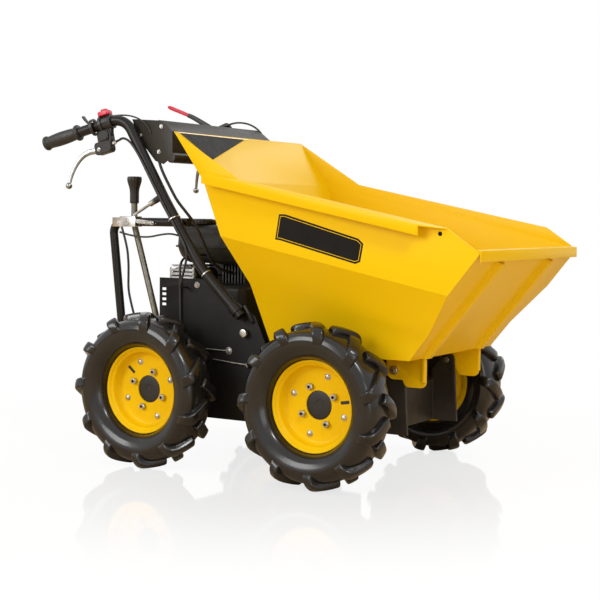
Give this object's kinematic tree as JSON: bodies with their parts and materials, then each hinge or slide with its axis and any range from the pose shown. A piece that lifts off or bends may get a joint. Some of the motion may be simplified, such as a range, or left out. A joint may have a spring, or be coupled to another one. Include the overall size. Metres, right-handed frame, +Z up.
{
  "type": "motorized wheelbarrow",
  "caption": "Walk-behind motorized wheelbarrow with four driven lug tyres, a sheet-steel skip that tips forward on pins, a small petrol engine and long handles.",
  "frame": {"origin": "on the ground, below the middle of the whole machine's box", "axes": "+X forward to the skip's lip, +Y to the operator's left, +Z up"},
  "size_m": [1.3238, 0.777, 0.9966],
  "materials": {
    "yellow_paint": "glossy yellow powder coat",
    "black_paint": "satin black powder coat",
    "zinc": "zinc-plated steel",
    "grip_rubber": "ribbed black rubber",
    "engine_black": "semi-gloss black enamel",
    "engine_cast": "cast aluminium, darkened",
    "black_plastic": "matte black moulded plastic",
    "red_plastic": "red moulded plastic",
    "tyre": "black lug tyre"
  },
  "bodies": {
    "frame": {"chassis_frame": "black_paint", "front_axle": "black_paint", "rear_axle": "black_paint", "skip_pivot_pins": "zinc", "handle_tube_right": "black_paint", "handle_tube_left": "black_paint", "grip_right": "grip_rubber", "grip_left": "grip_rubber", "side_cover_right": "black_paint", "side_cover_left": "black_paint", "engine_block": "engine_black", "engine_cylinder": "engine_cast", "fuel_tank": "engine_black", "fuel_cap": "black_plastic", "air_filter": "black_plastic", "recoil_starter": "black_plastic", "muffler": "engine_black", "rear_guard": "black_paint", "gear_lever": "zinc", "gear_knob": "black_plastic", "handle_console": "black_paint", "lever_bracket_right": "black_plastic", "lever_bracket_left": "black_plastic", "hand_lever_right": "black_plastic", "hand_lever_left": "black_plastic", "clutch_lever": "red_plastic", "stop_switch": "red_plastic", "skip_latch": "zinc", "cable_right": "black_plastic", "cable_left": "black_plastic", "cable_latch": "black_plastic"},
    "skip": {"skip_shell": "yellow_paint", "skip_brackets": "yellow_paint"},
    "wheel_front_right": {"tyre_front_right": "tyre", "rim_front_right": "yellow_paint", "hub_front_right": "black_plastic"},
    "wheel_front_left": {"tyre_front_left": "tyre", "rim_front_left": "yellow_paint", "hub_front_left": "black_plastic"},
    "wheel_rear_right": {"tyre_rear_right": "tyre", "rim_rear_right": "yellow_paint", "hub_rear_right": "black_plastic"},
    "wheel_rear_left": {"tyre_rear_left": "tyre", "rim_rear_left": "yellow_paint", "hub_rear_left": "black_plastic"}
  },
  "joints": [
    {"name": "wheel_front_right_spin", "type": "hinge", "parent": "frame", "child": "wheel_front_right", "pos_m": [0.25, -0.329, 0.203], "axis": [0, 1, 0], "continuous": true},
    {"name": "wheel_front_left_spin", "type": "hinge", "parent": "frame", "child": "wheel_front_left", "pos_m": [0.25, 0.329, 0.203], "axis": [0, 1, 0], "continuous": true},
    {"name": "wheel_rear_right_spin", "type": "hinge", "parent": "frame", "child": "wheel_rear_right", "pos_m": [-0.27, -0.329, 0.203], "axis": [0, 1, 0], "continuous": true},
    {"name": "wheel_rear_left_spin", "type": "hinge", "parent": "frame", "child": "wheel_rear_left", "pos_m": [-0.27, 0.329, 0.203], "axis": [0, 1, 0], "continuous": true},
    {"name": "skip_tip", "type": "hinge", "parent": "frame", "child": "skip", "pos_m": [0.3745, 0, 0.283], "axis": [0, 1, 0], "range_deg": [0, 70]}
  ]
}
